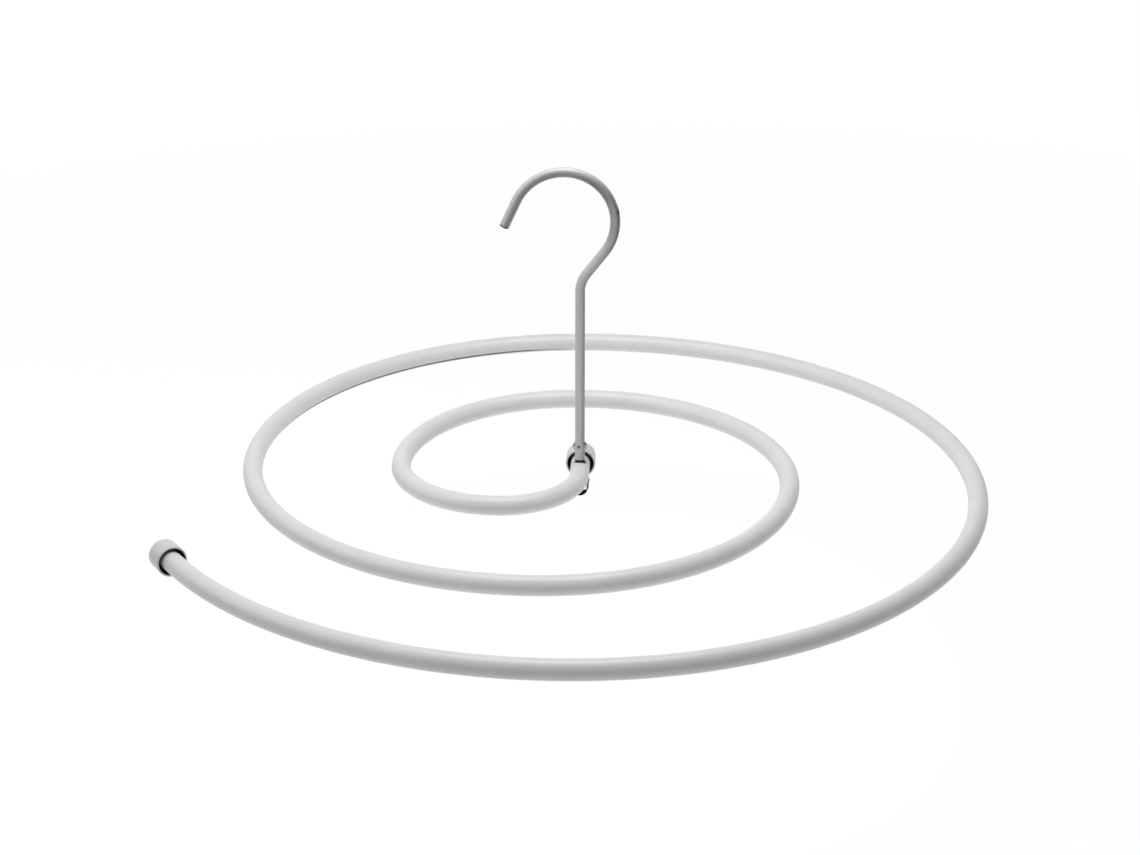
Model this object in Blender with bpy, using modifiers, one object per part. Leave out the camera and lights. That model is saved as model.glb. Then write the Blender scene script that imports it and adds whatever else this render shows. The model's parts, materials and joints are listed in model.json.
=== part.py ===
"""Spiral sheet hanger: a flat spiral of coated steel tube that turns on a wire hook.

Units are metres and +Z is up. The origin is where a rail bears on the inside of the crook, at its
highest point. The hook's rod hangs down from there through the inner end of the tube, and a cap nut
under the tube carries it. The spiral turns about the rod.
"""
import math

import bmesh
import bpy
from mathutils import Matrix, Vector

# Fits between the pieces
FIT_GAP = 0.0003
HOLE_CLEARANCE = 0.0004
CUT_OVERRUN = 0.002

# Spiral tube: each quarter turn from the hook outwards is one bend, a share of the spiral's own radius
TUBE_DIAMETER = 0.012
TUBE_WALL = 0.0008
SPIRAL_RADIUS = 0.272
BEND_SHARES = (0.175, 0.233, 0.401, 0.481, 0.551, 0.672, 0.755, 0.885, 0.906, 0.98)
SPIRAL_QUARTERS = 9.656
FIRST_BEND_FROM_HOOK = 0.009
STUB_SLANT = math.radians(2.5)

# End caps, pushed over both ends of the tube
CAP_LENGTH = 0.0157
CAP_MOUTH_GAP = 0.0021
CAP_LIP_WALL = 0.0011
CAP_END_WALL = 0.002
CAP_SKIRT_DEPTH = 0.0045
CAP_END_ROUNDING = 0.002
CAP_END_CROWN = 0.001
CAP_LIP_ROUNDING = 0.0004
INNER_CAP_FROM_HOOK = 0.0094

# Hook, bent from one wire
WIRE_DIAMETER = 0.006
ROD_HEIGHT = 0.117
NECK_BEND_RADIUS = 0.018
NECK_ANGLE = math.radians(38)
NECK_STRAIGHT = 0.017
CROOK_RADIUS = 0.0309
CROOK_SWEEP = math.radians(193)
TIP_STRAIGHT = 0.0176
TIP_CHAMFER = 0.0004

# Ears pressed out of the hook's rod a little above the tube, so that it can't ride up
EAR_SPAN = 0.0092
EAR_THICKNESS = 0.004
EAR_HEIGHT = 0.0084
EAR_ABOVE_TUBE = 0.0055

# Washer and cap nut under the tube
WASHER_DIAMETER = 0.012
WASHER_THICKNESS = 0.0016
WASHER_CHAMFER = 0.0002
NUT_SIDES = 6
NUT_ACROSS_FLATS = 0.010
NUT_TURN = math.radians(30)
NUT_HEX_HEIGHT = 0.0046
NUT_DOME_DIAMETER = 0.0096
NUT_DOME_HEIGHT = 0.0044
NUT_CROWN_WALL = 0.0022
NUT_CHAMFER_ANGLE = math.radians(30)

# Smoothness
BEND_STEP = math.radians(6)
ROUNDING_STEP = math.radians(10)
DOME_STEP = math.radians(15)
ROUND_STEPS = 24
EAR_STEPS = 10
TUBE_BEVEL_RESOLUTION = 4
SMOOTH_ANGLE = math.radians(35)
MERGE_DISTANCE = 0.00001

# Values that follow from the sizes above
TUBE_RADIUS = TUBE_DIAMETER / 2
WIRE_RADIUS = WIRE_DIAMETER / 2
SHANK_HOLE_RADIUS = WIRE_RADIUS + FIT_GAP
QUARTER_TURN = math.pi / 2
CAP_MOUTH_RADIUS = TUBE_RADIUS + CAP_MOUTH_GAP
CAP_RADIUS = CAP_MOUTH_RADIUS + CAP_LIP_WALL
CAP_BORE_RADIUS = TUBE_RADIUS + FIT_GAP
CAP_BORE_DEPTH = CAP_LENGTH - CAP_END_WALL
TUBE_IN_CAP = CAP_BORE_DEPTH - FIT_GAP
WASHER_TOP = -TUBE_RADIUS - FIT_GAP
NUT_TOP = WASHER_TOP - WASHER_THICKNESS - FIT_GAP
NUT_BOTTOM = NUT_TOP - NUT_HEX_HEIGHT - NUT_DOME_HEIGHT
ROD_FOOT = NUT_BOTTOM + NUT_CROWN_WALL + FIT_GAP
NUT_ACROSS_CORNERS = NUT_ACROSS_FLATS / math.cos(math.pi / NUT_SIDES)
EAR_CENTRE = TUBE_RADIUS + EAR_ABOVE_TUBE + EAR_HEIGHT / 2

# Colours as seen, with roughness and metallic values
FINISHES = {
    "tube_coating": ((0.79, 0.79, 0.79), 0.38, 0.0),
    "cap_plastic": ((0.70, 0.70, 0.70), 0.30, 0.0),
    "hook_steel": ((0.45, 0.45, 0.45), 0.32, 1.0),
    "washer_steel": ((0.60, 0.60, 0.61), 0.28, 1.0),
    "nut_chrome": ((0.72, 0.72, 0.73), 0.12, 1.0),
}


class PlanePath:
    """A path of straights and tangent bends in a plane, laid from a point along a heading."""

    def __init__(self, start, heading):
        self.points = [Vector(start)]
        self.heading = heading
        self.bend_centre = None

    def direction(self):
        return Vector((math.cos(self.heading), math.sin(self.heading)))

    def straight(self, length):
        self.points.append(self.points[-1] + self.direction() * length)

    def bend(self, radius, turn):
        """Turn left by a positive angle, or right by a negative one."""
        side = math.copysign(1.0, turn)
        away = self.direction().orthogonal() * side
        self.bend_centre = self.points[-1] + away * radius
        spoke = self.points[-1] - self.bend_centre
        steps = max(1, math.ceil(abs(turn) / BEND_STEP))
        for step in range(1, steps + 1):
            turned = Matrix.Rotation(turn * step / steps, 2) @ spoke
            self.points.append(self.bend_centre + turned)
        self.heading += turn


def clear_scene():
    for item in list(bpy.data.objects):
        bpy.data.objects.remove(item, do_unlink=True)


def new_collection(name):
    collection = bpy.data.collections.new(name)
    bpy.context.scene.collection.children.link(collection)
    return collection


def finish_material(name):
    colour, roughness, metallic = FINISHES[name]
    material = bpy.data.materials.new(name)
    material.use_nodes = True
    shader = material.node_tree.nodes["Principled BSDF"]
    shader.inputs["Base Color"].default_value = (*colour, 1.0)
    shader.inputs["Roughness"].default_value = roughness
    shader.inputs["Metallic"].default_value = metallic
    material.diffuse_color = (*colour, 1.0)
    return material


def add_object(name, data, collection, finish=None):
    item = bpy.data.objects.new(name, data)
    collection.objects.link(item)
    if finish:
        data.materials.clear()
        data.materials.append(finish_material(finish))
    return item


def add_cutter(name, mesh, collection):
    cutter = add_object(name, mesh, collection)
    cutter.hide_render = True
    cutter.display_type = "WIRE"
    return cutter


def wire_curve(name, points, radius, radius_shares=None, closed_ends=True):
    """A round bar or tube skin along points, thicker or thinner where a share says so."""
    curve = bpy.data.curves.new(name, "CURVE")
    curve.dimensions = "3D"
    curve.bevel_depth = radius
    curve.bevel_resolution = TUBE_BEVEL_RESOLUTION
    curve.use_fill_caps = closed_ends
    spline = curve.splines.new("POLY")
    spline.points.add(len(points) - 1)
    for index, place in enumerate(points):
        spline.points[index].co = (*place, 1.0)
        if radius_shares:
            spline.points[index].radius = radius_shares[index]
    return curve


def curve_to_mesh(curve, collection):
    """The curve's skin as a welded mesh that modifiers can cut."""
    guide = add_object(curve.name, curve, collection)
    evaluated = guide.evaluated_get(bpy.context.evaluated_depsgraph_get())
    mesh = bpy.data.meshes.new_from_object(evaluated)
    bpy.data.objects.remove(guide, do_unlink=True)
    shell = bmesh.new()
    shell.from_mesh(mesh)
    bmesh.ops.remove_doubles(shell, verts=shell.verts, dist=MERGE_DISTANCE)
    bmesh.ops.recalc_face_normals(shell, faces=shell.faces)
    shell.to_mesh(mesh)
    shell.free()
    return mesh


def shade_round(mesh):
    mesh.shade_smooth()
    mesh.set_sharp_from_angle(angle=SMOOTH_ANGLE)


def turned_object(name, profile, collection, finish=None):
    """A solid of revolution about its own Z; the profile runs down its outer side at +X."""
    mesh = bpy.data.meshes.new(name)
    vertices = [(radius, 0, height) for radius, height in profile]
    edges = [(index, index + 1) for index in range(len(profile) - 1)]
    mesh.from_pydata(vertices, edges, [])
    item = add_object(name, mesh, collection, finish)
    screw = item.modifiers.new("turn", "SCREW")
    screw.axis = "Z"
    screw.steps = ROUND_STEPS
    screw.render_steps = ROUND_STEPS
    screw.use_merge_vertices = True
    screw.merge_threshold = MERGE_DISTANCE
    screw.use_smooth_shade = True
    return item


def cylinder_mesh(name, radius, bottom, top, sides):
    mesh = bpy.data.meshes.new(name)
    solid = bmesh.new()
    middle = Matrix.Translation((0, 0, (bottom + top) / 2))
    bmesh.ops.create_cone(solid, cap_ends=True, segments=sides, radius1=radius, radius2=radius,
                          depth=top - bottom, matrix=middle)
    solid.to_mesh(mesh)
    solid.free()
    return mesh


def add_boolean(item, cutter, operation):
    boolean = item.modifiers.new(operation.lower(), "BOOLEAN")
    boolean.operation = operation
    boolean.solver = "EXACT"
    boolean.object = cutter


def spiral_path():
    """The tube's centreline in its own plane, from its inner end, with the hook's hole at zero."""
    heading = -QUARTER_TURN - STUB_SLANT
    stub = INNER_CAP_FROM_HOOK + TUBE_IN_CAP
    inner_end = Vector((-math.cos(heading), -math.sin(heading))) * stub
    path = PlanePath(inner_end, heading)
    path.straight(stub + FIRST_BEND_FROM_HOOK)
    for quarter in range(math.ceil(SPIRAL_QUARTERS)):
        share = BEND_SHARES[min(quarter, len(BEND_SHARES) - 1)]
        quarters_done = min(quarter + 1, SPIRAL_QUARTERS)
        turn = -QUARTER_TURN * (1 + quarters_done) - path.heading
        path.bend(SPIRAL_RADIUS * share, turn)
    path.straight(TUBE_IN_CAP)
    return path


def hook_path():
    """The wire's centreline in its own plane, from its foot, with the tube's centre at zero."""
    path = PlanePath((0, ROD_FOOT), QUARTER_TURN)
    for step in range(EAR_STEPS + 1):
        height = EAR_CENTRE + EAR_HEIGHT * (step / EAR_STEPS - 1 / 2)
        path.straight(height - path.points[-1].y)
    path.straight(ROD_HEIGHT - path.points[-1].y)
    path.bend(NECK_BEND_RADIUS, -NECK_ANGLE)
    path.straight(NECK_STRAIGHT)
    path.bend(CROOK_RADIUS, CROOK_SWEEP)
    path.straight(TIP_STRAIGHT - TIP_CHAMFER)
    path.straight(TIP_CHAMFER)
    return path


def rail_seat():
    """Where the crook's inside is highest, in the hook's own plane."""
    centre = hook_path().bend_centre
    return Vector((centre.x, centre.y + CROOK_RADIUS - WIRE_RADIUS))


def press_ears(mesh):
    """Flatten the rod from front and back, so that it spreads to an ear on each side."""
    for vertex in mesh.vertices:
        from_centre = (vertex.co.z - EAR_CENTRE) / (EAR_HEIGHT / 2)
        if abs(from_centre) < 1:
            pressed = math.cos(QUARTER_TURN * from_centre) ** 2
            vertex.co.x *= 1 + (EAR_SPAN / WIRE_DIAMETER - 1) * pressed
            vertex.co.y *= 1 + (EAR_THICKNESS / WIRE_DIAMETER - 1) * pressed


def make_hook(parts, hub):
    """The wire hook, bent to its crook, with the ears pressed in its rod."""
    path = hook_path()
    shares = [1.0] * len(path.points)
    shares[-1] = (WIRE_RADIUS - TIP_CHAMFER) / WIRE_RADIUS
    points = [(point.x, 0, point.y) for point in path.points]
    curve = wire_curve("hook", points, WIRE_RADIUS, shares)
    mesh = curve_to_mesh(curve, parts)
    press_ears(mesh)
    shade_round(mesh)
    hook = add_object("hook", mesh, parts, "hook_steel")
    hook.parent = hub


def make_spiral_tube(parts, cutters, hub):
    """The hollow tube, drilled through both walls for the rod."""
    points = [(point.x, point.y, 0) for point in spiral_path().points]
    curve = wire_curve("spiral_tube", points, TUBE_RADIUS, closed_ends=False)
    curve.twist_mode = "Z_UP"
    mesh = curve_to_mesh(curve, parts)
    shade_round(mesh)
    tube = add_object("spiral_tube", mesh, parts, "tube_coating")
    tube.parent = hub
    wall = tube.modifiers.new("wall", "SOLIDIFY")
    wall.thickness = TUBE_WALL
    wall.offset = -1.0
    wall.use_even_offset = True
    reach = TUBE_RADIUS + CUT_OVERRUN
    drill = cylinder_mesh("hook_hole", WIRE_RADIUS + HOLE_CLEARANCE, -reach, reach, ROUND_STEPS)
    cutter = add_cutter("hook_hole", drill, cutters)
    cutter.parent = hub
    add_boolean(tube, cutter, "DIFFERENCE")
    return tube


def cap_profile():
    """Half section of an end cap, from the crown down the outside and up into the bore."""
    profile = [(0, CAP_LENGTH)]
    shoulder = CAP_LENGTH - CAP_END_CROWN - CAP_END_ROUNDING
    steps = round(QUARTER_TURN / ROUNDING_STEP)
    for step in range(steps + 1):
        angle = QUARTER_TURN * (1 - step / steps)
        radius = CAP_RADIUS - CAP_END_ROUNDING * (1 - math.cos(angle))
        profile.append((radius, shoulder + CAP_END_ROUNDING * math.sin(angle)))
    profile.append((CAP_RADIUS, CAP_LIP_ROUNDING))
    profile.append((CAP_RADIUS - CAP_LIP_ROUNDING, 0))
    profile.append((CAP_MOUTH_RADIUS + CAP_LIP_ROUNDING, 0))
    profile.append((CAP_MOUTH_RADIUS, CAP_LIP_ROUNDING))
    profile.append((CAP_MOUTH_RADIUS, CAP_SKIRT_DEPTH))
    profile.append((CAP_BORE_RADIUS, CAP_SKIRT_DEPTH + CAP_MOUTH_RADIUS - CAP_BORE_RADIUS))
    profile.append((CAP_BORE_RADIUS, CAP_BORE_DEPTH))
    profile.append((0, CAP_BORE_DEPTH))
    return profile


def make_end_cap(name, parts, tube, tube_end, outward):
    """An end cap whose mouth faces back along the tube, seated over the tube's end."""
    cap = turned_object(name, cap_profile(), parts, "cap_plastic")
    cap.parent = tube
    mouth = Vector(tube_end) - Vector(outward) * TUBE_IN_CAP
    cap.location = (mouth.x, mouth.y, 0)
    cap.rotation_euler = Vector((outward[0], outward[1], 0)).to_track_quat("Z", "Y").to_euler()


def make_washer(parts, hub):
    outer = WASHER_DIAMETER / 2
    bottom = WASHER_TOP - WASHER_THICKNESS
    profile = [
        (SHANK_HOLE_RADIUS, WASHER_TOP),
        (outer - WASHER_CHAMFER, WASHER_TOP),
        (outer, WASHER_TOP - WASHER_CHAMFER),
        (outer, bottom + WASHER_CHAMFER),
        (outer - WASHER_CHAMFER, bottom),
        (SHANK_HOLE_RADIUS, bottom),
        (SHANK_HOLE_RADIUS, WASHER_TOP),
    ]
    washer = turned_object("washer", profile, parts, "washer_steel")
    washer.parent = hub


def nut_profile():
    """Half section of the cap nut before its flats: chamfer, body, dome and blind bore."""
    corner = NUT_ACROSS_CORNERS / 2
    flat = NUT_ACROSS_FLATS / 2
    chamfer = (corner - flat) * math.tan(NUT_CHAMFER_ANGLE)
    hex_bottom = NUT_TOP - NUT_HEX_HEIGHT
    dome_radius = NUT_DOME_DIAMETER / 2
    profile = [
        (SHANK_HOLE_RADIUS, NUT_TOP),
        (flat, NUT_TOP),
        (corner, NUT_TOP - chamfer),
        (corner, hex_bottom + chamfer),
        (flat, hex_bottom),
        (dome_radius, hex_bottom),
    ]
    steps = round(QUARTER_TURN / DOME_STEP)
    for step in range(1, steps + 1):
        angle = QUARTER_TURN * step / steps
        radius = dome_radius * math.cos(angle) if step < steps else 0
        profile.append((radius, hex_bottom - NUT_DOME_HEIGHT * math.sin(angle)))
    profile.append((0, ROD_FOOT - FIT_GAP))
    profile.append((SHANK_HOLE_RADIUS, ROD_FOOT - FIT_GAP))
    profile.append((SHANK_HOLE_RADIUS, NUT_TOP))
    return profile


def make_cap_nut(parts, cutters, hub):
    """The cap nut: a turned blank whose six flats are cut by a hexagonal bar."""
    nut = turned_object("cap_nut", nut_profile(), parts, "nut_chrome")
    nut.parent = hub
    low = NUT_BOTTOM - CUT_OVERRUN
    high = NUT_TOP + CUT_OVERRUN
    bar = cylinder_mesh("nut_flats", NUT_ACROSS_CORNERS / 2, low, high, NUT_SIDES)
    cutter = add_cutter("nut_flats", bar, cutters)
    cutter.rotation_euler.z = NUT_TURN
    cutter.parent = hub
    add_boolean(nut, cutter, "INTERSECT")


def main():
    clear_scene()
    parts = new_collection("spiral_sheet_hanger")
    cutters = new_collection("cutters")
    seat = rail_seat()
    hub = bpy.data.objects.new("swivel_axis", None)
    hub.location = (-seat.x, 0, -seat.y)
    parts.objects.link(hub)
    make_hook(parts, hub)
    make_washer(parts, hub)
    make_cap_nut(parts, cutters, hub)
    tube = make_spiral_tube(parts, cutters, hub)
    path = spiral_path()
    inner_end = path.points[0]
    inner_outward = (inner_end - path.points[1]).normalized()
    make_end_cap("inner_end_cap", parts, tube, inner_end, inner_outward)
    make_end_cap("outer_end_cap", parts, tube, path.points[-1], path.direction())
    bpy.context.view_layer.update()


main()
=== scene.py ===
"""Looks of the spiral sheet hanger: smooth bent tube and wire, moulded caps, turned fasteners, plain studio.

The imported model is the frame. Each piece here stands for one of its nodes, lies where that node lies and
rides on the same body. Units are metres, +Z is up, and the hook's rod is the axis that the spiral turns on.
"""
import json
import logging
import math
from collections.abc import Callable
from dataclasses import dataclass, replace
from enum import Enum

import bpy
import numpy as np
from mathutils import Euler, Matrix, Vector


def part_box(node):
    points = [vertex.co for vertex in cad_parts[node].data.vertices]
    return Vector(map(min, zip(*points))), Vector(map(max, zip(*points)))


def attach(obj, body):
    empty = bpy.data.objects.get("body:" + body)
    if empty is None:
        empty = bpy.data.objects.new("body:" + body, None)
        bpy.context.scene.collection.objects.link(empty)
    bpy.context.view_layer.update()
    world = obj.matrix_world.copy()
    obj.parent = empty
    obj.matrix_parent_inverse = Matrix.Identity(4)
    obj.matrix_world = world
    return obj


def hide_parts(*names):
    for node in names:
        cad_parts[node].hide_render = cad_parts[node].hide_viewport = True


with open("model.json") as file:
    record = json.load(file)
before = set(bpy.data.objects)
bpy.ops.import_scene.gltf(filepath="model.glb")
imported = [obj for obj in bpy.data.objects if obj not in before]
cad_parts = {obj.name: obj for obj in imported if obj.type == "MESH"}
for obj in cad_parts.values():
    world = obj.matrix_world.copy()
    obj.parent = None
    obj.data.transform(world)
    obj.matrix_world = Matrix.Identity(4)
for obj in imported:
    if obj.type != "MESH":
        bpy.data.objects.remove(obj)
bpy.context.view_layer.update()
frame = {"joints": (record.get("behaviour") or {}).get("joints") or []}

LOG = logging.getLogger("spiral_sheet_hanger")

# Three numbers are a colour, a place or a share for each axis. Two are a first and a last value.
Triple = tuple[float, float, float]
Pair = tuple[float, float]
Socket = bpy.types.NodeSocket
Piece = bpy.types.Object
Stain = tuple[Socket, Triple]

# The swivel's place, on the rod's axis at the height of the tube's centre.
HUB = Vector(frame["joints"][0]["pos_m"])
UP = Vector((0, 0, 1))
QUARTER_TURN = math.pi / 2
MERGE_DISTANCE = 0.000001
SHARP_ANGLE = math.radians(32)
BAR_POSITION = "bar_position"
POINTS_AT_ONCE = 4096
STRAYS_TO_A_RADIUS = 1.2


class Body(Enum):
    """The two bodies that turn against each other."""

    HOOK = "hook_assembly"
    SPIRAL = "spiral"


class TubeEnd(Enum):
    """Which end of the tube a cap closes, named as its node is."""

    INNER = "inner_end_cap"
    OUTER = "outer_end_cap"


class PatternSpace(Enum):
    """Where a pattern reads its place from."""

    OBJECT = "the object's own coordinates"
    BAR = "round and along the bar, from an attribute"


@dataclass(frozen=True)
class Grain:
    """A cloudy noise: how many of its units a metre holds, its fineness, and what it follows."""

    stretch: Triple
    detail: float = 3.0
    roughness: float = 0.5
    space: PatternSpace = PatternSpace.OBJECT


Relief = tuple[tuple[Grain, float], ...]


def even_grain(scale: float, **fineness: float) -> Grain:
    """A noise that is alike along the three axes of the object."""
    return Grain((scale, scale, scale), **fineness)


def drawn_grain(across: float, along: float, **fineness: float) -> Grain:
    """A noise that is drawn out along the bar."""
    return Grain((across, across, along), space=PatternSpace.BAR, **fineness)


@dataclass(frozen=True)
class Patch:
    """A roundish mark: its middle, where it has faded away, and how its outline fades and strays."""

    centre: Triple
    radius: float
    stretch: Triple = (1, 1, 1)
    rim: float = 0.3
    ragged: float = 0.5

    def behind(self) -> "Patch":
        """The same mark on the far side of the rod."""
        across, forward, up = self.centre
        return replace(self, centre=(-across, -forward, up))


@dataclass(frozen=True)
class Stretch:
    """A mark along a bar: its strength, where it begins and ends, and its line's middle and half width."""

    strength: float
    begins: Pair | None = None
    ends: Pair | None = None
    across: Pair | None = None
    up: Pair | None = None


def grey(value: float, warmth: float = 0.0) -> Triple:
    """A grey, a little warmer or cooler by its share of red and blue."""
    return (value * (1 + warmth), value, value * (1 - warmth))


def box_size(node: str) -> Vector:
    """A node's extent along X, Y and Z."""
    low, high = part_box(node)
    return high - low


def deselect_everything() -> None:
    """Clear the selection, because an operator acts on all that is selected."""
    if bpy.context.object and bpy.context.object.mode != "OBJECT":
        bpy.ops.object.mode_set(mode="OBJECT")
    bpy.ops.object.select_all(action="DESELECT")


def make_active(piece: Piece) -> None:
    """Select one object alone and make it the active one.

    Args:
        piece: The object to work on.
    """
    deselect_everything()
    piece.select_set(True)
    bpy.context.view_layer.objects.active = piece


def take_new(name: str) -> Piece:
    """Name the primitive that was just added, and put its place in its mesh.

    Args:
        name: The name for the object and for its mesh.

    Returns:
        The object.
    """
    piece = bpy.context.object
    piece.name = name
    piece.data.name = name
    bpy.ops.object.transform_apply(location=True, rotation=True, scale=True)
    return piece


def apply_modifier(piece: Piece, kind: str, **settings: object) -> None:
    """Add one modifier to a piece, set it and apply it.

    Args:
        piece: The mesh object.
        kind: The modifier's type.
        settings: The modifier's properties.
    """
    make_active(piece)
    modifier = piece.modifiers.new(kind.lower(), kind)
    for key, value in settings.items():
        setattr(modifier, key, value)
    bpy.ops.object.modifier_apply(modifier=modifier.name)


def cut_with(piece: Piece, cutter: Piece, operation: str) -> None:
    """Apply a Boolean cut, DIFFERENCE or INTERSECT, and remove the cutter."""
    apply_modifier(piece, "BOOLEAN", operation=operation, solver="EXACT", object=cutter,
                   material_mode="INDEX")
    bpy.data.objects.remove(cutter, do_unlink=True)


def shade_round(piece: Piece, angle: float = SHARP_ANGLE) -> None:
    """Shade a piece smooth where it is round and sharp where it turns hard."""
    make_active(piece)
    bpy.ops.object.shade_smooth_by_angle(angle=angle)


class ShaderSheet:
    """The node tree of a material or of the world, with short ways to add and link its nodes."""

    def __init__(self, owner: bpy.types.Material | bpy.types.World, shader: str = "Principled BSDF") -> None:
        """Open the tree.

        Args:
            owner: The new material or world.
            shader: The name of the shader node that it starts with.
        """
        owner.use_nodes = True
        self.owner = owner
        self.tree = owner.node_tree
        self.shader = self.tree.nodes[shader]

    def add(self, kind: str, inputs: dict[str | int, object] | None = None,
            **settings: object) -> bpy.types.Node:
        """Add one node.

        Args:
            kind: The node's type name.
            inputs: A value or an output socket for each input.
            settings: Properties of the node itself.

        Returns:
            The new node.
        """
        node = self.tree.nodes.new(kind)
        for key, value in settings.items():
            setattr(node, key, value)
        for key, value in (inputs or {}).items():
            self.feed(node.inputs[key], value)
        return node

    def feed(self, socket: Socket, value: object) -> None:
        """Link an output to a socket, or set the socket's own value.

        Args:
            socket: The input socket.
            value: The output, or a plain value. A plain colour is three numbers.
        """
        if isinstance(value, Socket):
            self.tree.links.new(value, socket)
        elif socket.type == "RGBA":
            socket.default_value = (*value, 1.0)
        else:
            socket.default_value = value

    def set_shader(self, **values: object) -> None:
        """Set or link the shader's inputs, with _ for a space in their names."""
        for key, value in values.items():
            self.feed(self.shader.inputs[key.replace("_", " ")], value)

    def place(self, space: PatternSpace, stretch: Triple = (1, 1, 1), centre: Vector | None = None) -> Socket:
        """A pattern's coordinates.

        Args:
            space: What the pattern follows.
            stretch: How many pattern units a metre holds along each axis.
            centre: The place that the pattern is centred on.

        Returns:
            The vector output.
        """
        if space is PatternSpace.BAR:
            source = self.add("ShaderNodeAttribute", attribute_name=BAR_POSITION).outputs["Vector"]
        else:
            source = self.add("ShaderNodeTexCoord").outputs["Object"]
        if centre is not None:
            moved = self.add("ShaderNodeMapping", {"Vector": source, "Location": tuple(-centre)})
            source = moved.outputs["Vector"]
        return self.add("ShaderNodeMapping", {"Vector": source, "Scale": stretch}).outputs["Vector"]

    def axes(self, space: PatternSpace) -> bpy.types.NodeOutputs:
        """The place from the hub, or across the bar, off the plane of its bends and along it, in metres."""
        place = self.place(space, centre=HUB if space is PatternSpace.OBJECT else None)
        return self.add("ShaderNodeSeparateXYZ", {"Vector": place}).outputs

    def reach(self, centre: Vector, stretch: Triple = (1, 1, 1)) -> Socket:
        """How far off a centre lies, with each axis counted by its stretch."""
        place = self.place(PatternSpace.OBJECT, stretch, centre)
        return self.add("ShaderNodeVectorMath", {"Vector": place}, operation="LENGTH").outputs["Value"]

    def noise(self, grain: Grain) -> Socket:
        """The noise of a grain, from 0 to 1."""
        inputs = {"Vector": self.place(grain.space, grain.stretch), "Scale": 1.0, "Detail": grain.detail,
                  "Roughness": grain.roughness}
        return self.add("ShaderNodeTexNoise", inputs).outputs["Fac"]

    def ramp(self, factor: Socket, low: float, high: float, start: float = 0.3, end: float = 0.7) -> Socket:
        """Spread a factor between two plain values.

        Args:
            factor: The factor, such as a noise.
            low: The value where the factor is at start or under it.
            high: The value where the factor is at end or over it.
            start: The factor's first mark.
            end: The factor's last mark.

        Returns:
            The value's output.
        """
        inputs = {"Value": factor, "From Min": start, "From Max": end, "To Min": low, "To Max": high}
        return self.add("ShaderNodeMapRange", inputs).outputs["Result"]

    def reckon(self, operation: str, first: Socket | float, second: Socket | float = 0.0) -> Socket:
        """Reckon with one or two values. Only a sum is held between 0 and 1."""
        clamped = operation == "ADD"
        return self.add("ShaderNodeMath", {0: first, 1: second}, operation=operation,
                        use_clamp=clamped).outputs[0]

    def band(self, value: Socket, middle: float, half_width: float) -> Socket:
        """1 where a value is at the middle, falling to 0 at half the width on both sides."""
        off = self.reckon("ABSOLUTE", self.reckon("SUBTRACT", value, middle))
        return self.ramp(off, 1.0, 0.0, 0.0, half_width)

    def mix(self, factor: Socket, first: object, second: object, kind: str = "RGBA") -> Socket:
        """Mix two colours or values, the first where the factor is 0 and the second where it is 1."""
        inputs = {"Factor": factor, "A": first, "B": second}
        return self.add("ShaderNodeMix", inputs, data_type=kind).outputs["Result"]

    def stretch_mask(self, stretch: Stretch) -> Socket:
        """A stretch's mask on the bar's own axes.

        Args:
            stretch: The stretch.

        Returns:
            The mask's output, as high as the stretch is strong.
        """
        across, up, along = self.axes(PatternSpace.BAR)
        lines = ((across, stretch.across), (up, stretch.up))
        ends = ((0.0, 1.0, stretch.begins), (1.0, 0.0, stretch.ends))
        factors = [self.band(axis, *line) for axis, line in lines if line]
        factors += [self.ramp(along, low, high, *marks) for low, high, marks in ends if marks]
        mask = factors[0]
        for factor in (*factors[1:], stretch.strength):
            mask = self.reckon("MULTIPLY", mask, factor)
        return mask

    def near(self, patch: Patch, origin: Triple | Vector = (0, 0, 0)) -> Socket:
        """A patch's mask on object coordinates.

        Args:
            patch: The patch.
            origin: The place that its middle is given from.

        Returns:
            The mask's output, 1 inside the patch.
        """
        reach = self.reach(Vector(patch.centre) + Vector(origin), patch.stretch)
        stray = patch.ragged * patch.radius
        strays = self.noise(even_grain(STRAYS_TO_A_RADIUS / patch.radius, detail=2))
        reach = self.reckon("SUBTRACT", reach, self.ramp(strays, -stray, stray))
        return self.ramp(reach, 1.0, 0.0, patch.radius * patch.rim, patch.radius)

    def bump(self, height: Socket, distance: float, under: Socket | None = None) -> Socket:
        """Raise the surface by a height, over an earlier bump if there is one.

        Args:
            height: The height from 0 to 1.
            distance: How far a height of 1 stands out.
            under: The normal of the bump below.

        Returns:
            The normal's output.
        """
        inputs = {"Height": height, "Strength": 1.0, "Distance": distance}
        if under is not None:
            inputs["Normal"] = under
        return self.add("ShaderNodeBump", inputs).outputs["Normal"]

    def seen_directly(self) -> Socket:
        """Find the rays that show a surface itself.

        Returns:
            1 where a ray comes from the camera or was mirrored or let through, and 0 elsewhere.
        """
        path = self.add("ShaderNodeLightPath").outputs
        seen = path["Is Camera Ray"]
        for kind in ("Is Glossy Ray", "Is Transmission Ray"):
            seen = self.reckon("MAXIMUM", seen, path[kind])
        return seen


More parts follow.
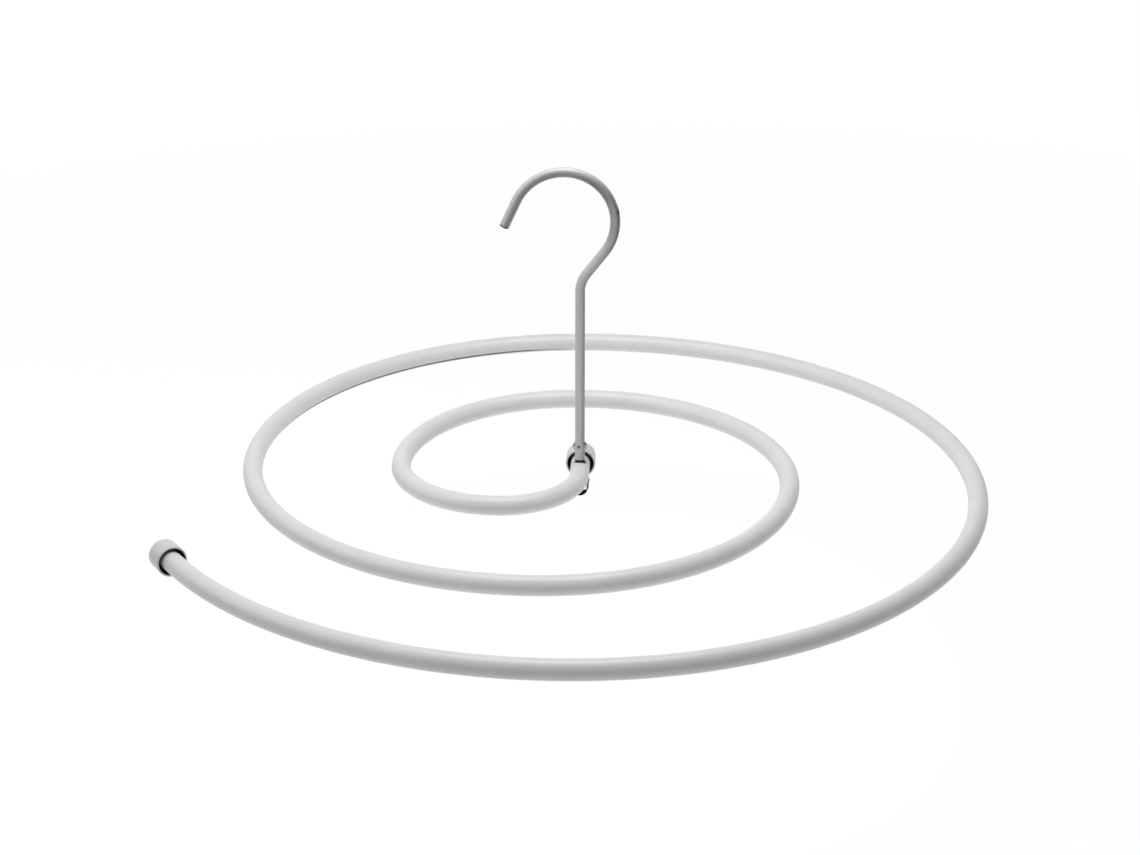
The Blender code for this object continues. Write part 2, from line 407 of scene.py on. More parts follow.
@dataclass(frozen=True)
class Finish:
    """What every finish has: two tones mixed by a depth, stains over them, a gloss and a fine relief."""

    name: str
    light: Triple
    dark: Triple
    tone_grain: Grain
    roughness: Pair
    gloss_grain: Grain | None = None
    relief: Relief = ()
    tone_height: float = 0.0
    stain_depth: float = 0.0
    metal_share: float = 0.0
    specular: float = 0.5
    edge: Triple = grey(1.0)

    def material(self) -> bpy.types.Material:
        """Build the material: the tones, the stains, the relief and the gloss.

        Returns:
            The material.
        """
        sheet = ShaderSheet(bpy.data.materials.new(self.name))
        depth = self.depth(sheet)
        colour = sheet.mix(depth, self.light, self.dark)
        normal = sheet.bump(depth, self.tone_height) if self.tone_height else None
        for mask, stain in self.stains(sheet):
            colour = sheet.mix(mask, colour, stain)
            if self.stain_depth:
                normal = sheet.bump(sheet.reckon("SUBTRACT", 1.0, mask), self.stain_depth, normal)
        for grain, height in self.relief:
            normal = sheet.bump(sheet.noise(grain), height, normal)
        if normal is not None:
            sheet.set_shader(Normal=normal)
        gloss = self.roughness[0]
        if self.gloss_grain is not None:
            gloss = sheet.ramp(sheet.noise(self.gloss_grain), *self.roughness)
        sheet.set_shader(Base_Color=colour, Roughness=gloss, Metallic=self.metal_share,
                         Specular_IOR_Level=self.specular, Specular_Tint=self.edge)
        return sheet.owner

    def depth(self, sheet: ShaderSheet) -> Socket:
        """How much of the dark tone shows, from 0 to 1."""
        return sheet.ramp(sheet.noise(self.tone_grain), 0.0, 1.0)

    def stains(self, sheet: ShaderSheet) -> list[Stain]:
        """The mask and the colour of each stain over the tones."""
        return []


@dataclass(frozen=True)
class CoatedTubeFinish(Finish):
    """Pale plastic coating, bent with the tube, specked, with a painted shade line below and a dark ring at
    its hole.
    """

    name: str = "pale_tube_coating"
    light: Triple = grey(0.80)
    dark: Triple = grey(0.755, 0.004)
    tone_grain: Grain = even_grain(38, detail=4)
    roughness: Pair = (0.34, 0.44)
    gloss_grain: Grain = drawn_grain(160, 22)
    relief: Relief = ((drawn_grain(1100, 9, detail=2), 0.000012), (even_grain(1300, detail=2), 0.00002))
    speck: Triple = grey(0.62, 0.01)
    speck_grain: Grain = even_grain(900, detail=1)
    speck_share: float = 0.55
    speck_marks: Pair = (0.76, 0.80)
    # Painted shade: a dark line low along the underside of one stretch of the tube.
    underside_shade_colour: Triple = grey(0.04, 0.01)
    underside_shade_stretch: Stretch = Stretch(1.0, begins=(1.10, 1.16), ends=(1.36, 1.44), up=(-0.0034, 0.0011))
    underside_shade_side: Pair = (-0.001, 0.0)
    underside_shade_grain: Grain = drawn_grain(300, 60)
    underside_shade_uneven: Pair = (0.7, 1.3)
    underside_shade_share: float = 0.95
    underside_shade_marks: Pair = (0.1, 0.5)
    # Near-black ring round the hole: bare steel where the coating chipped, and painted shade of the gap where
    # the rod enters.
    bare_steel_and_shade: Triple = grey(0.05, 0.01)
    chipped_and_shaded_ring: Patch = Patch((0.0005, 0.0002, 0.0), 0.0037, (1, 1, 0), rim=0.92, ragged=0.05)

    def stains(self, sheet: ShaderSheet) -> list[Stain]:
        """The specks, the painted shade line under the tube and the near-black ring round the drilled hole.

        Args:
            sheet: The material's nodes.

        Returns:
            The three stains.
        """
        specks = sheet.ramp(sheet.noise(self.speck_grain), 0.0, self.speck_share, *self.speck_marks)
        chipped_and_shaded_ring = sheet.near(self.chipped_and_shaded_ring, HUB)
        return [(specks, self.speck), (self.underside_shade_line(sheet), self.underside_shade_colour), (chipped_and_shaded_ring, self.bare_steel_and_shade)]

    def underside_shade_line(self, sheet: ShaderSheet) -> Socket:
        """A painted shade line, low on the inner side of one stretch of the tube.

        Args:
            sheet: The material's nodes.

        Returns:
            The line's mask.
        """
        inner_side = sheet.ramp(sheet.axes(PatternSpace.BAR)["X"], 1.0, 0.0, *self.underside_shade_side)
        line = sheet.reckon("MULTIPLY", sheet.stretch_mask(self.underside_shade_stretch), inner_side)
        line = sheet.reckon("MULTIPLY", line, sheet.ramp(sheet.noise(self.underside_shade_grain), *self.underside_shade_uneven))
        return sheet.ramp(line, 0.0, self.underside_shade_share, *self.underside_shade_marks)


@dataclass(frozen=True)
class MouldedCapFinish(Finish):
    """Pale grey moulded plastic, half gloss, with flow marks along the moulding and a fine grain."""

    name: str = "moulded_cap_plastic"
    light: Triple = grey(0.72)
    dark: Triple = grey(0.64, 0.003)
    tone_grain: Grain = drawn_grain(420, 60)
    roughness: Pair = (0.24, 0.36)
    gloss_grain: Grain = even_grain(300)
    relief: Relief = ((even_grain(2400, detail=2), 0.000012),)


@dataclass(frozen=True)
class CapMouthShadeFinish(Finish):
    """The inside of a cap's mouth, painted near-black as the shade deep in the gap round the tube."""

    name: str = "painted_shade_cap_mouth"
    # Painted shade: both tones are near-black so the mouth's gap reads dark.
    light: Triple = grey(0.04, 0.01)
    dark: Triple = grey(0.015, 0.01)
    tone_grain: Grain = even_grain(900)
    roughness: Pair = (0.45, 0.75)
    gloss_grain: Grain = tone_grain
    specular: float = 0.2


@dataclass(frozen=True)
class DrawnSteelFinish(Finish):
    """Satin stainless wire in fine drawn lines, darker over part of the crook, with painted shade and press
    marks.
    """

    name: str = "drawn_stainless_wire"
    light: Triple = grey(0.72, 0.004)
    dark: Triple = grey(0.20, 0.006)
    tone_grain: Grain = drawn_grain(950, 11, detail=2, roughness=0.6)
    roughness: Pair = (0.32, 0.44)
    gloss_grain: Grain = drawn_grain(240, 90)
    relief: Relief = ((drawn_grain(2300, 16, roughness=0.6), 0.000018),)
    metal_share: float = 0.12
    specular: float = 0.2
    edge: Triple = grey(0.40)
    streak_depth: float = 0.30
    blotch_grain: Grain = drawn_grain(120, 24, detail=2)
    blotch_depth: float = 0.12
    # Painted shade down the rod's right side, away from the light; the crook darker over part of its length;
    # painted shade on the crook's inner, downward side.
    right_side_shade: Stretch = Stretch(0.44, ends=(0.190, 0.215), across=(-0.0020, 0.0011))
    darker_crook: Stretch = Stretch(0.42, begins=(0.150, 0.178), ends=(0.195, 0.225))
    crook_inner_shade: Stretch = Stretch(0.62, begins=(0.190, 0.210), across=(0.0007, 0.0029))
    # One near-black for painted shade at the tube entry and on the crook's side, and for the ears' press
    # marks.
    shade_and_marks_dark: Triple = grey(0.03, 0.01)
    entry_shade_top: Pair = (0.0073, 0.0077)
    stain_depth: float = 0.0001
    press_marks: tuple[Patch, ...] = (
        Patch((-0.0008, -0.0020, 0.0158), 0.0013), Patch((0.0036, -0.0009, 0.0184), 0.0017),
        Patch((-0.0035, -0.0008, 0.0170), 0.0010))
    # Painted shade: a dark patch on the crook's right side, away from the light.
    crook_side_shade: Patch = Patch((0.0331, -0.0016, -0.0204), 0.0021, (1.6, 0.8, 0.45), rim=0.4, ragged=0.3)

    def depth(self, sheet: ShaderSheet) -> Socket:
        """How dark the wire is: streaks, blotches, a painted shade line down the rod's right side, a darker
        stretch over the crook, and painted shade on the crook's inner side, which faces down.

        Args:
            sheet: The material's nodes.

        Returns:
            The depth, from 0 to 1.
        """
        depth = sheet.ramp(sheet.noise(self.tone_grain), 0.0, self.streak_depth)
        blotches = sheet.ramp(sheet.noise(self.blotch_grain), 0.0, self.blotch_depth)
        stretches = (self.right_side_shade, self.darker_crook, self.crook_inner_shade)
        for more in (blotches, *(sheet.stretch_mask(stretch) for stretch in stretches)):
            depth = sheet.reckon("ADD", depth, more)
        return depth

    def stains(self, sheet: ShaderSheet) -> list[Stain]:
        """The ears' press marks, painted shade round the rod at the tube, and on the crook's right side.

        Args:
            sheet: The material's nodes.

        Returns:
            All of them as one stain.
        """
        marks = sheet.ramp(sheet.axes(PatternSpace.OBJECT)["Z"], 1.0, 0.0, *self.entry_shade_top)
        for mark in self.press_marks:
            for patch in (mark, mark.behind()):
                marks = sheet.reckon("MAXIMUM", marks, sheet.near(patch, HUB))
        return [(sheet.reckon("MAXIMUM", marks, sheet.near(self.crook_side_shade)), self.shade_and_marks_dark)]


@dataclass(frozen=True)
class StampedSteelFinish(Finish):
    """Stamped steel set dark as a painted dark reflection, with fine turning rings round the rod's axis, in
    tone and in height.
    """

    name: str = "stamped_washer_steel"
    # Painted reflection: dark tones stand for the dark that the washer's rim mirrors.
    light: Triple = grey(0.26, 0.005)
    dark: Triple = grey(0.18, 0.005)
    tone_grain: Grain = Grain((900, 900, 40), detail=2.0)
    roughness: Pair = (0.30, 0.30)
    metal_share: float = 1.0
    edge: Triple = grey(0.05)
    tone_height: float = 0.00001
    ring_wander: float = 1.5

    def depth(self, sheet: ShaderSheet) -> Socket:
        """The turning rings, from 0 to 1."""
        inputs = {"Vector": sheet.place(PatternSpace.OBJECT, self.tone_grain.stretch, HUB), "Scale": 1.0,
                  "Distortion": self.ring_wander, "Detail": self.tone_grain.detail}
        return sheet.add("ShaderNodeTexWave", inputs, wave_type="RINGS", rings_direction="Z").outputs["Fac"]


@dataclass(frozen=True)
class PlatedNutFinish(Finish):
    """Bright plating, slightly smudged and faintly uneven, with a painted dark reflection from its neck down
    over the dome.
    """

    name: str = "bright_nut_plating"
    light: Triple = grey(0.94, -0.004)
    dark: Triple = grey(0.84, -0.004)
    tone_grain: Grain = even_grain(420, detail=4, roughness=0.6)
    roughness: Pair = (0.05, 0.12)
    gloss_grain: Grain = tone_grain
    relief: Relief = ((even_grain(1500, detail=1), 0.000004),)
    metal_share: float = 1.0
    edge: Triple = grey(0.01)
    # Painted reflection: the dome is near-black below the neck, as if mirroring dark surroundings.
    painted_dark_reflection: Triple = grey(0.02)
    dark_reflection_from: Pair = (-0.0119, -0.0113)

    def stains(self, sheet: ShaderSheet) -> list[Stain]:
        """The painted dark reflection over the dome."""
        return [(sheet.ramp(sheet.axes(PatternSpace.OBJECT)["Z"], 1.0, 0.0, *self.dark_reflection_from), self.painted_dark_reflection)]


@dataclass(frozen=True)
class CutSteelFinish(Finish):
    """Bare steel where a wire was cropped or a wall was drilled, with coarse shear marks, set near-black as
    painted shade.
    """

    name: str = "cut_bare_steel"
    # Painted shade: real cut steel is lighter; these near-black tones stand for shade at the hook's cut tip
    # and in the hole.
    light: Triple = grey(0.09, 0.01)
    dark: Triple = grey(0.03, 0.02)
    tone_grain: Grain = Grain((3200, 900, 900))
    roughness: Pair = (0.45, 0.45)
    relief: Relief = ((tone_grain, 0.00002),)
    metal_share: float = 1.0


class GrownShape:
    """A mesh that grows in edit mode from one ring."""

    def __init__(self, name: str, centre: Vector, turn: Euler, radius: float, sides: int) -> None:
        """Add the first ring.

        Args:
            name: The piece's name.
            centre: The ring's centre.
            turn: How the ring is turned from lying flat.
            radius: The ring's radius.
            sides: How many sides the ring has.
        """
        deselect_everything()
        bpy.ops.mesh.primitive_circle_add(vertices=sides, radius=radius, location=centre, rotation=turn)
        self.piece = take_new(name)
        self.radius = radius
        bpy.ops.object.mode_set(mode="EDIT")
        bpy.ops.mesh.select_all(action="SELECT")

    def extrude(self, step: Vector, centre: Vector, radius: float | None) -> None:
        """Extrude the last ring.

        Args:
            step: The way to the next ring.
            centre: The next ring's centre.
            radius: The next ring's radius, if it is set anew.
        """
        bpy.ops.mesh.extrude_region_move(TRANSFORM_OT_translate={"value": step})
        if radius is not None:
            share = radius / self.radius
            bpy.ops.transform.resize(value=(share, share, share), center_override=centre)
            self.radius = radius

    def finish(self, fill: bool, merge: bool) -> Piece:
        """Close the shape and leave edit mode.

        Args:
            fill: Whether the open ends get a face.
            merge: Whether points that meet become one.

        Returns:
            The piece.
        """
        bpy.ops.mesh.select_all(action="SELECT")
        if fill:
            bpy.ops.mesh.fill_holes(sides=0)
            bpy.ops.mesh.select_all(action="SELECT")
        if merge:
            bpy.ops.mesh.remove_doubles(threshold=MERGE_DISTANCE)
        bpy.ops.mesh.normals_make_consistent(inside=False)
        bpy.ops.object.mode_set(mode="OBJECT")
        return self.piece


@dataclass
class BarStation:
    """One place on a bar's centreline."""

    place: Vector
    along: Vector
    distance: float


class BarBender(GrownShape):
    """Draws a round bar from one ring, by extruding it along straights and spinning it round bends."""

    def __init__(self, name: str, start: Vector, along: Vector, normal: Vector,
                 radius: float, sides: int) -> None:
        """Add the first ring, square to the bar.

        Args:
            name: The piece's name.
            start: The centre of the first ring.
            along: The bar's direction there.
            normal: The normal of the plane that every bend lies in.
            radius: The bar's radius.
            sides: How many sides the ring has.
        """
        self.place = start.copy()
        self.along = along.normalized()
        self.normal = normal.normalized()
        self.distance = 0.0
        self.stations = [BarStation(self.place.copy(), self.along.copy(), 0.0)]
        turn = Matrix((self.normal.cross(self.along), self.normal, self.along)).transposed().to_euler()
        super().__init__(name, start, turn, radius, sides)

    def straight(self, length: float, radius: float | None = None) -> None:
        """Extrude the ring straight on.

        Args:
            length: How far.
            radius: The bar's radius at the far end, if it changes.
        """
        step = self.along * length
        self.place += step
        self.distance += length
        self.extrude(step, self.place, radius)
        self.stations.append(BarStation(self.place.copy(), self.along.copy(), self.distance))

    def press_upright(self, length: float, steps: int, width: float, thickness: float) -> None:
        """Extrude an upright bar on through a pressed stretch, wider along X and thinner along Y.

        Args:
            length: The stretch's length.
            steps: How many rings it has.
            width: The width at its middle, as a share of the round bar's.
            thickness: The thickness at its middle, as a share of the round bar's.
        """
        last = (1.0, 1.0)
        for step in range(1, steps + 1):
            pressed = math.sin(math.pi * step / steps) ** 2
            now = (1 + (width - 1) * pressed, 1 + (thickness - 1) * pressed)
            self.straight(length / steps)
            share = (now[0] / last[0], now[1] / last[1], 1)
            bpy.ops.transform.resize(value=share, center_override=self.place)
            last = now

    def bend(self, radius: float, turn: float, step: float) -> None:
        """Spin the ring round a bend.

        Args:
            radius: The bend's radius, at the bar's centreline.
            turn: The angle, positive to the left as seen against the plane's normal.
            step: The largest angle from ring to ring.
        """
        left = self.normal.cross(self.along)
        centre = self.place + left * math.copysign(radius, turn)
        steps = max(1, math.ceil(abs(turn) / step))
        bpy.ops.mesh.spin(steps=steps, angle=-turn, center=centre, axis=self.normal)
        spoke = self.place - centre
        start_along = self.along
        for index in range(1, steps + 1):
            rotation = Matrix.Rotation(turn * index / steps, 3, self.normal)
            self.place = centre + rotation @ spoke
            self.along = rotation @ start_along
            travelled = self.distance + radius * abs(turn) * index / steps
            self.stations.append(BarStation(self.place.copy(), self.along.copy(), travelled))
        self.distance += radius * abs(turn)


def store_bar_position(piece: Piece, stations: list[BarStation], normal: Vector) -> None:
    """Give every point its place across and along the bar, for patterns that follow it.

    Args:
        piece: The mesh object.
        stations: The bar's centreline, in order.
        normal: The normal of the plane that the bends lie in.
    """
    mesh = piece.data
    points = np.empty(len(mesh.vertices) * 3)
    mesh.vertices.foreach_get("co", points)
    points = points.reshape(-1, 3)
    centres = np.array([station.place for station in stations])
    along = np.array([station.along for station in stations])
    distances = np.array([station.distance for station in stations])
    up = np.array(normal)
    values = np.empty_like(points)
    for start in range(0, len(points), POINTS_AT_ONCE):
        rows = slice(start, start + POINTS_AT_ONCE)
        gaps = points[rows, None, :] - centres[None, :, :]
        nearest = np.einsum("ijk,ijk->ij", gaps, gaps).argmin(axis=1)
        spoke = points[rows] - centres[nearest]
        tangent = along[nearest]
        values[rows, 0] = np.einsum("ij,ij->i", spoke, np.cross(up, tangent))
        values[rows, 1] = spoke @ up
        values[rows, 2] = distances[nearest] + np.einsum("ij,ij->i", spoke, tangent)
    attribute = mesh.attributes.new(BAR_POSITION, "FLOAT_VECTOR", "POINT")
    attribute.data.foreach_set("vector", values.ravel())


class Lathe(GrownShape):
    """Turns a piece about an axis, ring by ring."""

    def __init__(self, name: str, origin: Vector, axis: Vector,
                 radius: float, height: float, sides: int) -> None:
        """Add the first ring.

        Args:
            name: The piece's name.
            origin: The axis's zero.
            axis: The axis's direction.
            radius: The first ring's radius.
            height: The first ring's height along the axis.
            sides: How many sides each ring has.
        """
        self.origin = origin.copy()
        self.axis = axis.normalized()
        self.height = height
        turn = self.axis.to_track_quat("Z", "Y").to_euler()
        super().__init__(name, self.origin + self.axis * height, turn, radius, sides)

    def follow(self, profile: list[Pair]) -> None:
        """Extrude the ring through a profile.

        Args:
            profile: The radius and the height of each next ring.
        """
        for radius, height in profile:
            self.extrude(self.axis * (height - self.height), self.origin + self.axis * height, radius)
            self.height = height


def rounded_corner(corner: Pair, radius: float, start: float, end: float, steps: int) -> list[Pair]:
    """Points of an arc in a half section.

    Args:
        corner: The arc's centre, as radius and height.
        radius: The arc's own radius.
        start: The first angle, from the outward direction towards the axis's direction.
        end: The last angle.
        steps: How many steps the arc has.

    Returns:
        The points as radius and height.
    """
    angles = [start + (end - start) * index / steps for index in range(steps + 1)]
    return [(corner[0] + radius * math.cos(angle), corner[1] + radius * math.sin(angle)) for angle in angles]


def dress(piece: Piece, *finishes: Finish) -> None:
    """Give a piece its materials.

    Args:
        piece: The mesh object.
        finishes: The finish of its faces, and then those of its marked ones.
    """
    piece.data.materials.clear()
    for finish in finishes:
        piece.data.materials.append(finish.material())


def mark_faces(piece: Piece, chosen: Callable[[Vector], bool]) -> None:
    """Give some faces the second material.

    Args:
        piece: The mesh object.
        chosen: Tells by a face's centre whether it is one of them.
    """
    for face in piece.data.polygons:
        if chosen(face.center):
            face.material_index = 1


def seat_piece(piece: Piece, node: str, body: Body) -> None:
    """Let a piece stand for its node and ride with its body.

    Args:
        piece: The finished piece.
        node: The node that it stands for.
        body: The body that it rides on.
    """
    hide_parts(node)
    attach(piece, body.value)
    LOG.info("%s stands for %s: %d faces", piece.name, node, len(piece.data.polygons))


@dataclass
class SpiralTube:
    """The coated steel tube, bent to a flat spiral of quarter turns and drilled for the hook."""

    diameter: float = box_size("spiral_tube").z
    wall: float = 0.0008
    spiral_radius: float = 0.272
    bend_shares: tuple[float, ...] = (0.175, 0.233, 0.401, 0.481, 0.551, 0.672, 0.755, 0.885, 0.906, 0.98)
    quarters: float = 9.656
    first_bend_from_hook: float = 0.009
    stub_slant: float = math.radians(2.5)
    inner_cap_from_hook: float = 0.0094
    length_in_cap: float = 0.0134
    hole_radius: float = 0.0034
    hole_chamfer: float = 0.00015
    hole_sides: int = 64
    drill_length: float = 1.4
    sides: int = 36
    bend_step: float = math.radians(1.8)
    outer_mouth: Vector | None = None
    outer_outward: Vector | None = None

    @property
    def inner_outward(self) -> Vector:
        """Which way the stub behind the hook points."""
        return Vector((math.sin(self.stub_slant), math.cos(self.stub_slant), 0))

    def build(self) -> Piece:
        """Bend the tube, give it its wall and drill it.

        Returns:
            The dressed tube.
        """
        stub = self.inner_cap_from_hook + self.length_in_cap
        start = HUB + self.inner_outward * stub
        bender = BarBender("coated_spiral_tube", start, -self.inner_outward, UP,
                           self.diameter / 2, self.sides)
        bender.straight(stub)
        bender.straight(self.first_bend_from_hook)
        turned = self.stub_slant
        for quarter in range(math.ceil(self.quarters)):
            turned_after = QUARTER_TURN * min(quarter + 1, self.quarters)
            radius = self.spiral_radius * self.bend_shares[quarter]
            bender.bend(radius, turned - turned_after, self.bend_step)
            turned = turned_after
        self.outer_mouth = bender.place.copy()
        self.outer_outward = bender.along.copy()
        bender.straight(self.length_in_cap)
        tube = bender.finish(fill=False, merge=True)
        apply_modifier(tube, "SOLIDIFY", thickness=self.wall, offset=-1.0, use_even_offset=True)
        dress(tube, CoatedTubeFinish(), CutSteelFinish())
        self.drill(tube)
        store_bar_position(tube, bender.stations, bender.normal)
        shade_round(tube)
        return tube

    def drill(self, tube: Piece) -> None:
        """Drill both walls for the rod, chamfer the upper one, and let the cut faces show bare steel,
        near-black as painted shade.

        Args:
            tube: The tube with its wall.
        """
        flare = 2 * self.hole_chamfer
        cuts = ((0.0, self.diameter * self.drill_length, 0.0), (flare, flare, self.diameter / 2))
        for wider, depth, height in cuts:
            deselect_everything()
            bpy.ops.mesh.primitive_cone_add(vertices=self.hole_sides, radius1=self.hole_radius, depth=depth,
                                            radius2=self.hole_radius + wider, location=HUB + UP * height)
            cutter = take_new("drill")
            for _ in tube.data.materials:
                cutter.data.materials.append(None)
            mark_faces(cutter, lambda centre: True)
            cut_with(tube, cutter, "DIFFERENCE")


@dataclass
class WireHook:
    """The stainless wire, bent to a crook, with two ears pressed in its rod above the tube."""

    diameter: float = box_size("hook").y
    rod_height: float = 0.117
    neck_radius: float = 0.018
    neck_angle: float = math.radians(38)
    neck_straight: float = 0.017
    crook_radius: float = 0.0309
    crook_sweep: float = math.radians(193)
    tip_straight: float = 0.0176
    tip_chamfer: float = 0.0004
    cropped_length: float = 0.0010
    cropped_reach: float = 0.6
    edge_rounding: float = 0.00016
    edge_segments: int = 2
    ear_span: float = 0.0092
    ear_thickness: float = 0.004
    ear_height: float = 0.0084
    ear_centre: float = 0.0157
    ear_steps: int = 24
    sides: int = 36
    bend_step: float = math.radians(2.5)

    def build(self) -> Piece:
        """Draw the wire up from its foot, round the neck and the crook to its tip.

        Returns:
            The dressed hook.
        """
        radius = self.diameter / 2
        blunt = radius - self.tip_chamfer
        start = Vector((HUB.x, HUB.y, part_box("hook")[0].z))
        bender = BarBender("bent_wire_hook", start, UP, Vector((0, -1, 0)), blunt, self.sides)
        bender.straight(self.tip_chamfer, radius)
        bender.straight(HUB.z + self.ear_centre - self.ear_height / 2 - bender.place.z)
        bender.press_upright(self.ear_height, self.ear_steps, self.ear_span / self.diameter,
                             self.ear_thickness / self.diameter)
        bender.straight(HUB.z + self.rod_height - bender.place.z)
        bender.bend(self.neck_radius, -self.neck_angle, self.bend_step)
        bender.straight(self.neck_straight)
        bender.bend(self.crook_radius, self.crook_sweep, self.bend_step)
        bender.straight(self.tip_straight - self.cropped_length)
        bender.straight(self.cropped_length - self.tip_chamfer)
        bender.straight(self.tip_chamfer, blunt)
        tip = bender.place.copy()
        hook = bender.finish(fill=True, merge=True)
        dress(hook, DrawnSteelFinish(), CutSteelFinish())
        # The band next to the cut tip takes the near-black cut steel as painted shade.
        mark_faces(hook, lambda centre: (centre - tip).length <= self.diameter * self.cropped_reach)
        mark_faces(hook, lambda centre: (centre - start).length <= self.tip_chamfer)
        apply_modifier(hook, "BEVEL", width=self.edge_rounding, segments=self.edge_segments,
                       limit_method="ANGLE", angle_limit=SHARP_ANGLE)
        store_bar_position(hook, bender.stations, bender.normal)
        shade_round(hook)
        return hook


@dataclass
class EndCap:
    """A moulded cup pushed over one end of the tube, its mouth a little wider than the tube."""

    end: TubeEnd
    mouth: Vector
    outward: Vector
    length: float = 0.0157
    radius: float = 0.00917
    mouth_radius: float = 0.0081
    bore_radius: float = 0.0063
    bore_core: float = 0.00063
    skirt_depth: float = 0.0045
    end_wall: float = 0.002
    end_rounding: float = 0.002
    end_steps: int = 12
    crown: float = 0.001
    lip_rounding: float = 0.00045
    lip_steps: int = 5
    gate_radius: float = 0.0011
    gate_floor: float = 0.000825
    gate_depth: float = 0.0002
    draft: float = 0.00012
    sides: int = 64

    def profile(self) -> list[Pair]:
        """Half section from the gate's edge over the outside, round the lip and into the bore.

        Returns:
            The points as radius and height over the mouth.
        """
        shoulder = self.length - self.crown - self.end_rounding
        corner = (self.radius - self.draft - self.end_rounding, shoulder)
        lip_outer = (self.radius - self.lip_rounding, self.lip_rounding)
        lip_inner = (self.mouth_radius + self.lip_rounding, self.lip_rounding)
        bore_top = self.length - self.end_wall
        return [
            (self.gate_radius, self.length),
            *rounded_corner(corner, self.end_rounding, QUARTER_TURN, 0.0, self.end_steps),
            *rounded_corner(lip_outer, self.lip_rounding, 0.0, -QUARTER_TURN, self.lip_steps),
            *rounded_corner(lip_inner, self.lip_rounding, -QUARTER_TURN, -2 * QUARTER_TURN, self.lip_steps),
            (self.mouth_radius, self.skirt_depth),
            (self.bore_radius, self.skirt_depth + self.mouth_radius - self.bore_radius),
            (self.bore_radius, bore_top),
            (self.bore_core, bore_top),
        ]

    def build(self) -> Piece:
        """Turn the cap about its own axis, with its sunk gate mark at the crown.

        Returns:
            The dressed cap.
        """
        low = self.length - self.gate_depth
        lathe = Lathe(self.end.value + "_shell", self.mouth, self.outward, self.gate_floor, low, self.sides)
        lathe.follow(self.profile())
        cap = lathe.finish(fill=True, merge=False)
        dress(cap, MouldedCapFinish(), CapMouthShadeFinish())
        # Faces inside the mouth take the painted shade finish.
        mark_faces(cap, self.lies_inside)
        store_bar_position(cap, [BarStation(self.mouth, self.outward, 0.0)], UP)
        shade_round(cap)
        return cap

    def lies_inside(self, place: Vector) -> bool:
        """Tell whether a place is inside the mouth or the bore.

        Args:
            place: The place.

        Returns:
            True from half way up the lip to the bore's end.
        """
        spoke = place - self.mouth
        height = spoke.dot(self.outward)
        reach = (spoke - self.outward * height).length
        top = self.length - self.end_wall + self.gate_depth
        return reach < self.mouth_radius + self.lip_rounding / 4 and self.lip_rounding / 2 < height < top


@dataclass
class FlatWasher:
    """The washer under the tube, stamped, with one edge rolled over by the punch."""

    bore_radius: float = 0.0033
    rolled_edge: float = 0.0003
    roll_steps: int = 4
    burr_edge: float = 0.00008
    sides: int = 64

    def build(self) -> Piece:
        """Turn the washer's closed section about the rod.

        Returns:
            The dressed washer.
        """
        low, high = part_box("washer")
        outer = (high.x - low.x) / 2
        bore = self.bore_radius
        burr = self.burr_edge
        roll = self.rolled_edge
        shoulder = high.z - roll
        lathe = Lathe("stamped_washer", Vector((HUB.x, HUB.y, 0)), UP, bore, shoulder, self.sides)
        inner_roll = rounded_corner((bore + roll, shoulder), roll, math.pi, QUARTER_TURN, self.roll_steps)
        lathe.follow(inner_roll[1:])
        lathe.follow(rounded_corner((outer - roll, shoulder), roll, QUARTER_TURN, 0.0, self.roll_steps))
        lathe.follow([(outer, low.z + burr), (outer - burr, low.z), (bore + burr, low.z),
                      (bore, low.z + burr), (bore, shoulder)])
        washer = lathe.finish(fill=False, merge=True)
        dress(washer, StampedSteelFinish())
        shade_round(washer)
        return washer


